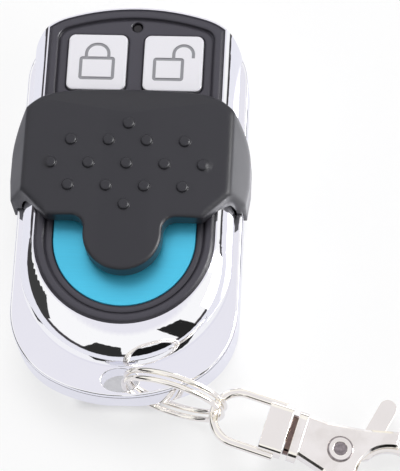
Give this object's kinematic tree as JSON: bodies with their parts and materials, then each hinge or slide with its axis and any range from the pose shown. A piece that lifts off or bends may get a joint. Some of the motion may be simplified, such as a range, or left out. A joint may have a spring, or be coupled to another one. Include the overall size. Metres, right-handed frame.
{
  "type": "garage door remote",
  "caption": "Chrome-cased key fob transmitter with a sliding cover over push buttons, hung on a split ring with a trigger clasp",
  "frame": {"origin": "middle of the flat back face of the case, on the surface that it lies on", "axes": "+Z out of the button face, +Y from the key ring end to the far end, +X to the right seen from the button side"},
  "size_m": [0.0733, 0.0878, 0.019],
  "materials": {
    "chrome_case": "mirror-bright plating on moulded plastic",
    "panel_black": "dark satin plastic",
    "accent_blue": "bright cyan-blue satin foil",
    "button_silver": "silver-white satin paint",
    "cover_charcoal": "matte charcoal plastic",
    "nickel": "bright warm nickel plate",
    "board_green": "green solder mask",
    "component_black": "moulded epoxy",
    "tin": "tinned sheet",
    "copper": "bare copper track",
    "clear_lens": "clear light pipe",
    "lamp_red": "red lamp body",
    "cell_jacket": "plastic jacket of the cell",
    "screw_steel": "plated steel"
  },
  "bodies": {
    "case": {"rear_housing": "chrome_case", "front_housing": "chrome_case", "front_panel": "panel_black", "accent_plate": "accent_blue", "tact_switch_bodies": "component_black", "tact_switch_covers": "tin", "snap_domes": "tin", "circuit_board": "board_green", "encoder_chip": "component_black", "resonator_can": "tin", "trimmer_capacitor": "button_silver", "output_transistor": "component_black", "resistors_and_capacitors": "component_black", "antenna_loop": "copper", "status_led": "lamp_red", "light_pipe": "clear_lens", "battery_cell": "cell_jacket", "contact_negative": "tin", "contact_positive": "tin", "case_screws": "screw_steel"},
    "cover": {"slide_cover": "cover_charcoal"},
    "lock_button": {"button_lock": "button_silver", "plunger_lock": "component_black"},
    "unlock_button": {"button_unlock": "button_silver", "plunger_unlock": "component_black"},
    "lower_left_button": {"button_lower_left": "button_silver", "plunger_lower_left": "component_black"},
    "lower_right_button": {"button_lower_right": "button_silver", "plunger_lower_right": "component_black"},
    "ring": {"split_ring": "nickel"},
    "eye": {"clasp_eye": "nickel"},
    "hook": {"clasp_hook": "nickel", "gate_rivet": "nickel", "gate_spring": "screw_steel"},
    "gate": {"clasp_gate": "nickel"}
  },
  "joints": [
    {"name": "cover_slide", "type": "slide", "parent": "case", "child": "cover", "axis": [0, 1, 0], "range_m": [-0.012, 0.0124]},
    {"name": "lock_press", "type": "slide", "parent": "case", "child": "lock_button", "axis": [0, 0, -1], "range_m": [0, 0.0003], "stiffness_N_per_m": 5000, "springref_m": -0.0001},
    {"name": "unlock_press", "type": "slide", "parent": "case", "child": "unlock_button", "axis": [0, 0, -1], "range_m": [0, 0.0003], "stiffness_N_per_m": 5000, "springref_m": -0.0001},
    {"name": "lower_left_press", "type": "slide", "parent": "case", "child": "lower_left_button", "axis": [0, 0, -1], "range_m": [0, 0.0003], "stiffness_N_per_m": 5000, "springref_m": -0.0001},
    {"name": "lower_right_press", "type": "slide", "parent": "case", "child": "lower_right_button", "axis": [0, 0, -1], "range_m": [0, 0.0003], "stiffness_N_per_m": 5000, "springref_m": -0.0001},
    {"name": "ring_swing", "type": "hinge", "parent": "case", "child": "ring", "pos_m": [0.0011, -0.03125, 0.00893], "axis": [0, 0, 1], "range_deg": [-150, 8]},
    {"name": "eye_pitch", "type": "hinge", "parent": "ring", "child": "eye", "pos_m": [0.01587, -0.03521, 0.0071], "axis": [-0.2588, -0.9659, 0], "range_deg": [-45, 80]},
    {"name": "clasp_swivel", "type": "hinge", "parent": "eye", "child": "hook", "pos_m": [0.02758, -0.03835, 0.00539], "axis": [0.9565, -0.2563, -0.1392], "continuous": true},
    {"name": "gate_open", "type": "hinge", "parent": "hook", "child": "gate", "pos_m": [0.03637, -0.04075, 0.00411], "axis": [-0.1344, 0.036, -0.9903], "range_deg": [0, 25], "stiffness_Nm_per_rad": 0.004, "springref_deg": -5.73}
  ]
}
